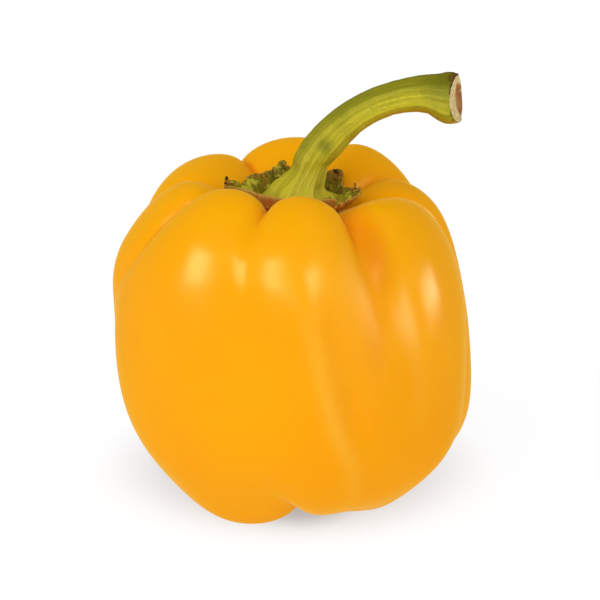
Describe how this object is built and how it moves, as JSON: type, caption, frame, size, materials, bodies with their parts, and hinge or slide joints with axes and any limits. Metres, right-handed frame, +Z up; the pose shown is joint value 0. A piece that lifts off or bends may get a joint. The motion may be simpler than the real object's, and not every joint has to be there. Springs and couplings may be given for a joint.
{
  "type": "bell pepper",
  "caption": "Whole yellow bell pepper standing on its lobes, with a ragged green calyx in its sunken top and a curved, ribbed stem.",
  "frame": {"origin": "on the surface that the pepper stands on, under the middle of its outline as seen from above", "axes": "+Z up, +X towards the stem's cut end, -Y towards the front of the pepper in the picture"},
  "size_m": [0.0918, 0.089, 0.1115],
  "materials": {
    "fruit": "smooth waxy skin, golden yellow, softly glossy, deeper orange in the furrows",
    "calyx": "dull wrinkled green, drying to brown at its edges and tips",
    "stem": "ribbed, mottled yellow-green with a faint sheen, pale and woody on its cut end"
  },
  "bodies": {
    "root": {"fruit": "fruit", "calyx": "calyx", "stem": "stem"}
  },
  "joints": []
}
